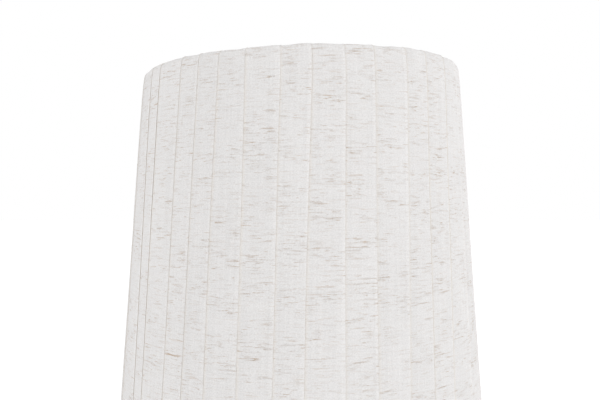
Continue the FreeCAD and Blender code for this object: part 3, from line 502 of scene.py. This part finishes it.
class Pleating:
    """Where each fold runs, how high it stands and how it wanders."""

    # One pleat's section: share of its width, share of its rise, sideways shift in cloth thicknesses,
    # and its marks for painted light in the finish: a painted highlight on the fold, painted shade in the
    # gap, and painted shade on the cloth that lies under it.
    SECTION = (
        (0.00, 0.02, -0.7, 0, 0.95, 1),
        (0.00, 0.03, 0.7, 0, 0.30, 1),
        (0.10, 0.08, 0, 0, 0, 1),
        (0.24, 0.20, 0, 0, 0, 0.85),
        (0.36, 0.34, 0, 0, 0, 0),
        (0.60, 0.62, 0, 0, 0, 0),
        (0.86, 0.90, 0, 0, 0, 0),
        (0.95, 0.98, 0, 0.55, 0, 0),
        (1.00, 1.00, -0.9, 0.9, 0, 0),
        (1.00, 0.90, 0.1, 1.0, 0, 0),
        (1.00, 0.66, 0.3, 0.2, 0.35, 0),
        (1.00, 0.34, -0.3, 0, 1.0, 0),
    )
    # The ranges that are drawn from: the width and the rise of a pleat out of sight, how strong the painted
    # shade is on the cloth under a fold, and where in the cloth a pleat starts.
    WIDTHS = (0.82, 1.18)
    RISES = (0.6, 1.2)
    SHADES = (0.2, 1.2)
    STARTS = (0, 3)
    # The height over which a fold's drift to the side builds up, in metres.
    DRIFT_REACH = 0.3
    # A fold's two wanders, in radians, and the swell of its rise, as a share. Each has its size, its
    # waves down the shade in radians a metre, and the multiple of the fold's own phase.
    WANDERS = ((0.0022, 11, 1), (0.0012, 29, 2))
    SWELL = (0.16, 17, 3)

    def __init__(self, settings):
        self.rise = settings.rise
        chance = random.Random(34)
        upper = [seam_angle(pixel, SEAM_ROWS[0]) for pixel in UPPER_SEAM_PIXELS]
        lower = [seam_angle(pixel, SEAM_ROWS[1]) for pixel in LOWER_SEAM_PIXELS]
        unseen = settings.pleats - len(upper) + 1
        rest = 2 * math.pi - (upper[-1] - upper[0])
        widths = [rest / unseen * chance.uniform(*self.WIDTHS) for _ in range(unseen)]
        scale = rest / sum(widths)
        self.angles = list(upper)
        self.drifts = [low - high for low, high in zip(lower, upper)]
        for i in range(1, unseen):
            share = i / unseen
            self.angles.append(upper[-1] + scale * sum(widths[:i]))
            self.drifts.append(self.drifts[len(upper) - 1] * (1 - share) + self.drifts[0] * share)
        self.count = len(self.angles)
        self.rises = [*SEAM_RISES, *(chance.uniform(*self.RISES) for _ in range(2, unseen)), EDGE_RISE]
        self.phases = [chance.uniform(0, 2 * math.pi) for _ in self.angles]
        self.shades = [chance.uniform(*self.SHADES) for _ in self.angles]
        self.starts = [(chance.uniform(*self.STARTS), chance.uniform(*self.STARTS)) for _ in self.angles]

    def wave(self, i, height, size, waves, multiple):
        return size * math.sin(height * waves + multiple * self.phases[i])

    def seam(self, i, height):
        """The angle of fold i at a height, from the middle of the front."""
        turns, i = divmod(i, self.count)
        fall = max(0, row_height(SEAM_ROWS[0]) - height)
        seen_fall = row_height(SEAM_ROWS[0]) - row_height(SEAM_ROWS[1])
        fade = (1 - math.exp(-fall / self.DRIFT_REACH)) / (1 - math.exp(-seen_fall / self.DRIFT_REACH))
        wander = sum(self.wave(i, height, *wander) for wander in self.WANDERS)
        return self.angles[i] + self.drifts[i] * fade + wander + turns * 2 * math.pi

    def lift(self, i, height):
        """How high fold i stands at a height, before the row's own depth."""
        i %= self.count
        return self.rise * self.rises[i] * (1 + self.wave(i, height, *self.SWELL))


# How often the search for a fold's angle halves its range, and how far outside the top ring's wire the
# shade's outline starts.
HALVINGS = 40
OUTLINE_OFFSET = 4 * MM


def seam_angle(pixel, row):
    """The angle round the shade of a point on its silhouette row, from the middle of the front."""
    radius = shade_radius(row_height(row))
    target = (pixel - SHADE_AXIS_PIXEL) / FOCAL_PIXELS
    low, high = -math.pi / 2, math.pi / 2
    for _ in range(HALVINGS):
        middle = (low + high) / 2
        seen = radius * math.sin(middle) / (CAMERA_DISTANCE - radius * math.cos(middle))
        if seen < target:
            low = middle
        else:
            high = middle
    return low


def row_height(row):
    """The height of the shade's silhouette at a row of the photograph."""
    return CAMERA_HEIGHT + (PHOTO_SIZE[1] / 2 - row) / FOCAL_PIXELS * CAMERA_DISTANCE


def shade_radius(height):
    """The radius of the shade's outline at a height."""
    low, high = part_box("pleated_cover")
    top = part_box("top_ring")[1].x + OUTLINE_OFFSET
    return top + (high.x - top) * (high.z - height) / (high.z - low.z)


def rim_bump(angle):
    """How far the rim stands up at an angle, before the row's own share."""
    return sum(size * math.sin(angle * turns + start) for turns, size, start in RIM_BUMPS)


class Cover:
    """The cover as one grid: a column for each point of each pleat's section, a row for each of the
    profile's. Its UV map is the cloth laid flat, in metres, and each pleat starts elsewhere in it."""

    def __init__(self, settings):
        self.settings = settings
        self.profile = Profile()
        self.pleating = Pleating(settings)
        self.columns = [(i, *point) for i in range(self.pleating.count) for point in Pleating.SECTION]
        self.shape = bmesh.new()
        self.marks = {name: self.shape.verts.layers.float.new(name) for name in ("fold", "gap", "under")}
        self.cloth_map = self.shape.loops.layers.uv.new("cloth")
        self.grid = []
        self.spans = []
        for row in self.profile.rows:
            self.add_row(*row)
        self.add_faces()

    def add_row(self, radius, height, out, up, depth):
        """A row of points, with their marks, and how far each is from its pleat's start in the cloth."""
        cloth = self.settings.cloth
        near_rim = max(0, 1 - (self.profile.top.y + self.profile.roll - height) / SLANT_REACH)
        line, span = [], []
        for i, share, rise, shift, fold, gap, under in self.columns:
            start, end = self.pleating.seam(i, height), self.pleating.seam(i + 1, height)
            angle = start + (end - start) * share + shift * cloth / radius
            lifted = (self.settings.loft + self.pleating.lift(i + 1, height) * rise) * depth
            r = radius + lifted * out
            tilt = self.settings.rim_slant * (SLANT_LIFT + math.sin(angle)) * near_rim
            bump = rim_bump(angle) * max(0, up)
            place = (r * math.sin(angle), -r * math.cos(angle), height + lifted * up + tilt + bump)
            vert = self.shape.verts.new(place)
            # Marks for painted light: a highlight on the fold, shade in its gap and on the cloth under it.
            vert[self.marks["fold"]] = fold
            vert[self.marks["gap"]] = gap * min(1, depth)
            vert[self.marks["under"]] = under * self.pleating.shades[i]
            line.append(vert)
            span.append((end - start) * share * radius + shift * cloth)
        self.grid.append(line)
        self.spans.append(span)

    def add_faces(self):
        """The faces between the rows, each laid flat in the cloth."""
        along = [0.0]
        for (r0, z0, *_), (r1, z1, *_) in zip(self.profile.rows, self.profile.rows[1:]):
            along.append(along[-1] + math.hypot(r1 - r0, z1 - z0))
        for k in range(len(self.grid) - 1):
            upper, lower = self.grid[k], self.grid[k + 1]
            for j in range(len(self.columns)):
                right = (j + 1) % len(self.columns)
                face = self.shape.faces.new((upper[j], lower[j], lower[right], upper[right]))
                face.smooth = True
                downs = (along[k], along[k + 1], along[k + 1], along[k])
                self.lay_flat(face, self.spans[k], self.spans[k + 1], j, right, downs)

    def lay_flat(self, face, upper, lower, j, right, downs):
        """Gives a face's corners their places in the flat cloth."""
        over, down = self.pleating.starts[self.columns[j][0]]
        ends = [upper[j], lower[j], lower[right], upper[right]]
        if self.columns[right][0] != self.columns[j][0]:
            ends[2] = ends[1] + HIDDEN_CLOTH
            ends[3] = ends[0] + HIDDEN_CLOTH
        for loop, u, v in zip(face.loops, ends, downs):
            loop[self.cloth_map].uv = (u + over, v + down)

    def mesh(self):
        mesh = bpy.data.meshes.new("linen_cover")
        self.shape.to_mesh(mesh)
        self.shape.free()
        return mesh


def apply_all(piece):
    """Applies the modifiers of a piece in their order."""
    bpy.ops.object.select_all(action="DESELECT")
    bpy.context.view_layer.objects.active = piece
    piece.select_set(True)
    for modifier in list(piece.modifiers):
        bpy.ops.object.modifier_apply(modifier=modifier.name)


class LAMP_OT_linen_cover(bpy.types.Operator):
    """Lays the linen in pleats over the shade's frame"""

    bl_idname = "lamp.linen_cover"
    bl_label = "Linen Cover"

    def execute(self, context):
        settings = context.scene.lamp_linen
        cover = Cover(settings)
        mesh = cover.mesh()
        piece = bpy.data.objects.new("linen_cover", mesh)
        context.scene.collection.objects.link(piece)
        mesh.materials.append(linen(settings))
        wall = piece.modifiers.new("cloth", "SOLIDIFY")
        wall.thickness = settings.cloth
        wall.offset = -1
        apply_all(piece)
        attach(piece, "shade")
        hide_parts("pleated_cover")
        return {"FINISHED"}


# ---------------------------------------------------------------- the frame's welds and the other finishes

STRUTS = 8
WELDED = ("top_ring", "carrier_ring", "upper_hoop", "lower_hoop", "bottom_ring")
# A bead's radius, its stretch off the ring, and the ranges of its stretches along the ring and up it.
WELD_BEAD = 1.9 * MM
BEAD_DEPTH = 0.75
BEAD_LENGTHS = (1.2, 1.6)
BEAD_HEIGHTS = (0.8, 1.0)


class LAMP_OT_frame_welds(bpy.types.Operator):
    """Sets a bead of weld wherever a strut meets a ring or a hoop of the shade's frame"""

    bl_idname = "lamp.frame_welds"
    bl_label = "Frame Welds"

    def execute(self, context):
        chance = random.Random(8)
        bpy.ops.object.select_all(action="DESELECT")
        bpy.ops.mesh.primitive_ico_sphere_add(subdivisions=3, radius=MM)
        piece = bpy.context.active_object
        piece.name = "frame_welds"
        bpy.ops.object.mode_set(mode="EDIT")
        bpy.ops.mesh.delete(type="VERT")
        for name in WELDED:
            radius, height = self.spot(name)
            for i in range(STRUTS):
                place = (radius, 0, height)
                bpy.ops.mesh.select_all(action="DESELECT")
                bpy.ops.mesh.primitive_ico_sphere_add(subdivisions=3, radius=WELD_BEAD, location=place)
                stretch = (BEAD_DEPTH, chance.uniform(*BEAD_LENGTHS), chance.uniform(*BEAD_HEIGHTS))
                bpy.ops.transform.resize(value=stretch, center_override=place)
                turn = i * 2 * math.pi / STRUTS
                bpy.ops.transform.rotate(value=turn, orient_axis="Z", center_override=(0, 0, 0))
        bpy.ops.object.mode_set(mode="OBJECT")
        bpy.ops.object.shade_smooth()
        piece.data.materials.append(bpy.data.materials["frame_coat"])
        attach(piece, "shade")
        return {"FINISHED"}

    def spot(self, name):
        """Where a strut meets that ring: at its end, or at the outside of a hoop."""
        low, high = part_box(name)
        wire = high.z - low.z
        ends = {"top_ring": low.z, "bottom_ring": high.z}
        if name in ends:
            return high.x - wire / 2, ends[name]
        return high.x, (low.z + high.z) / 2


class LAMP_OT_foot_finish(bpy.types.Operator):
    """Gives the foot its powder coat, its rubber pads, its screws and its gland"""

    bl_idname = "lamp.foot_finish"
    bl_label = "Foot Finish"

    def execute(self, context):
        metal = context.scene.lamp_metal
        dress(powder_coat("foot_coat", metal.foot, 1400), "base_plate")
        dress(moulded("black_rubber", (0.035, 0.035, 0.036), 0.72, 700), "rubber_pads")
        dress(moulded("black_plastic", (0.04, 0.04, 0.042)), "flex_gland", "wire_splice")
        screws = ("base_screw", "collar_screw", *both("block_screws"))
        dress(pressed_metal("zinc_plate", (0.50, 0.51, 0.53), 0.34), *screws)
        return {"FINISHED"}


class LAMP_OT_stem_finish(bpy.types.Operator):
    """Gives the stem, its branches and its nut their brushed steel, and the wires their sleeves"""

    bl_idname = "lamp.stem_finish"
    bl_label = "Stem Finish"

    def execute(self, context):
        metal = context.scene.lamp_metal
        dress(brushed("stem_steel", metal.steel), "lower_stem", "middle_stem", "upper_stem")
        turned = ("stem_collar", "shade_seat", "finial", *both("branch_block", "side_tube"))
        dress(brushed("turned_steel", metal.steel, 0), *turned)
        sleeve = moulded("white_flex", (0.74, 0.73, 0.70), 0.5)
        dress(sleeve, "supply_flex", "lower_branch_wire", "upper_branch_wire")
        return {"FINISHED"}


class LAMP_OT_lamp_finish(bpy.types.Operator):
    """Gives the lampholders and the lamps in them their plastics, brass, nickel and opal glass"""

    bl_idname = "lamp.lamp_finish"
    bl_label = "Lamp Finish"

    def execute(self, context):
        metal = context.scene.lamp_metal
        white = moulded("white_plastic", metal.plastic, 0.36)
        dress(white, *both("holder_cap", "holder_skirt", "holder_insert", "bulb_neck"))
        dress(pressed_metal("shell_brass", metal.brass, 0.30), *both("screw_shell", "centre_contact"))
        dress(pressed_metal("cap_nickel", (0.66, 0.65, 0.62), 0.26), *both("bulb_cap", "bulb_tip"))
        dress(moulded("black_glass", (0.03, 0.03, 0.035), 0.3), *both("bulb_insulator"))
        dress(opal_glass(), *both("bulb_globe"))
        return {"FINISHED"}


class LAMP_OT_frame_finish(bpy.types.Operator):
    """Gives the shade's wire frame its white coat and the lining its film"""

    bl_idname = "lamp.frame_finish"
    bl_label = "Frame Finish"

    def execute(self, context):
        wires = ("top_ring", "carrier_ring", "upper_hoop", "lower_hoop", "bottom_ring", "frame_struts")
        dress(powder_coat("frame_coat", (0.76, 0.75, 0.72), 2200), *wires, "spider_washer", "spider_arms")
        dress(lining_film(), "shade_lining")
        return {"FINISHED"}


# ---------------------------------------------------------------- the stage


SEEN_RAYS = ("Is Camera Ray", "Is Glossy Ray", "Is Transmission Ray")
# What the far floor adds for those rays, so that it is as white as the surround behind it. Close to the
# lamp it adds only a share of that, which keeps the lamp's shadow. The reach is where the share starts
# to grow and where it is whole.
FLOOR_GLOW = 0.56
NEAR_GLOW = 0.3
GLOW_REACH = (1.2, 3.2)
FLOOR_RADIUS = 40
# The large soft lamps: the place of each and its share of the key power, then their width and aim.
SOFT_LAMPS = {
    "right_lamp": ((2.8, -1.3, 2.2), 1.85),
    "left_lamp": ((-2.38, -1.8, 1.9), 1.33),
    "back_lamp": ((0.6, 2.8, 1.9), 0.9),
}
LAMP_WIDTH = 2.4
LAMP_AIM = (0, 0, 0.9)
SENSOR_WIDTH = 36


def soft_lamp(name, place, power):
    """A large soft lamp, pointed from its place at the shade."""
    light = bpy.data.lights.new(name, "AREA")
    light.shape = "DISK"
    light.size = LAMP_WIDTH
    light.energy = power
    lamp = bpy.data.objects.new(name, light)
    bpy.context.scene.collection.objects.link(lamp)
    lamp.location = place
    lamp.rotation_euler = (Vector(LAMP_AIM) - Vector(place)).to_track_quat("-Z", "Y").to_euler()


class LAMP_OT_stage(bpy.types.Operator):
    """Sets out the floor, the soft lamps, the white surround and the camera"""

    bl_idname = "lamp.stage"
    bl_label = "Stage"

    def execute(self, context):
        settings = context.scene.lamp_stage
        self.floor(settings)
        self.world(context.scene, settings)
        for name, (place, share) in SOFT_LAMPS.items():
            soft_lamp(name, place, settings.key_power * share)
        self.camera(context.scene)
        context.scene.view_settings.view_transform = "Standard"
        return {"FINISHED"}

    def camera(self, scene):
        camera = bpy.data.cameras.new("photo_camera")
        camera.sensor_width = SENSOR_WIDTH
        camera.lens = SENSOR_WIDTH * FOCAL_PIXELS / PHOTO_SIZE[0]
        holder = bpy.data.objects.new("photo_camera", camera)
        scene.collection.objects.link(holder)
        aside = (PHOTO_SIZE[0] / 2 - SHADE_AXIS_PIXEL) / FOCAL_PIXELS * CAMERA_DISTANCE
        holder.location = (aside, -CAMERA_DISTANCE, CAMERA_HEIGHT)
        holder.rotation_euler = (math.pi / 2, 0, 0)
        scene.camera = holder

    def floor(self, settings):
        bpy.ops.object.select_all(action="DESELECT")
        bpy.ops.mesh.primitive_circle_add(vertices=96, radius=FLOOR_RADIUS, fill_type="NGON")
        floor = bpy.context.active_object
        floor.name = "studio_floor"
        paper = Finish("floor_paper", roughness=0.9, specular_ior_level=0.1, emission_strength=FLOOR_GLOW)
        grain = paper.noise(paper.place((3, 3, 3)), detail=3)
        paper.colour(paper.mix(1.0, settings.floor, (grain - 0.5) * 0.02 + 1.0, "MULTIPLY"))
        settings = {"operation": "LENGTH"}
        distance = paper.node("ShaderNodeVectorMath", settings, [paper.place()], output="Value")
        glow = distance.between(*GLOW_REACH) * (1 - NEAR_GLOW) + NEAR_GLOW
        paper.put(paper.shader.inputs["Emission Color"], paper.rays(*SEEN_RAYS) * glow)
        floor.data.materials.append(paper.material)

    def world(self, scene, settings):
        world = bpy.data.worlds.new("white_surround")
        scene.world = world
        surround = NodeTree(world)
        seen = surround.rays(*SEEN_RAYS)
        background = surround.nodes["Background"]
        background.inputs["Color"].default_value = (1, 1, 1, 1)
        surround.put(background.inputs["Strength"], seen * (1 - settings.ambient) + settings.ambient)


# ---------------------------------------------------------------- the add-on


class LAMP_PT_dressing(bpy.types.Panel):
    """The lamp's pieces, each with its button"""

    bl_label = "Column Floor Lamp"
    bl_space_type = "VIEW_3D"
    bl_region_type = "UI"
    bl_category = "Lamp"

    def draw(self, context):
        for name in ("lamp_linen", "lamp_metal", "lamp_stage"):
            group = getattr(context.scene, name)
            box = self.layout.box()
            for prop in group.bl_rna.properties:
                if not prop.is_readonly and prop.identifier not in ("name", "rna_type"):
                    box.prop(group, prop.identifier)
        for operator in OPERATORS:
            self.layout.operator(operator.bl_idname)


GROUPS = {"lamp_linen": LampLinen, "lamp_metal": LampMetal, "lamp_stage": LampStage}
OPERATORS = (
    LAMP_OT_linen_cover, LAMP_OT_foot_finish, LAMP_OT_stem_finish, LAMP_OT_lamp_finish,
    LAMP_OT_frame_finish, LAMP_OT_frame_welds, LAMP_OT_stage,
)


def register():
    for name, group in GROUPS.items():
        bpy.utils.register_class(group)
        setattr(bpy.types.Scene, name, bpy.props.PointerProperty(type=group))
    for cls in (*OPERATORS, LAMP_PT_dressing):
        bpy.utils.register_class(cls)


def unregister():
    for cls in (LAMP_PT_dressing, *reversed(OPERATORS)):
        bpy.utils.unregister_class(cls)
    for name, group in GROUPS.items():
        delattr(bpy.types.Scene, name)
        bpy.utils.unregister_class(group)


def main():
    register()
    bpy.ops.lamp.linen_cover()
    bpy.ops.lamp.foot_finish()
    bpy.ops.lamp.stem_finish()
    bpy.ops.lamp.lamp_finish()
    bpy.ops.lamp.frame_finish()
    bpy.ops.lamp.frame_welds()
    bpy.ops.lamp.stage()


if __name__ == "__main__":
    main()
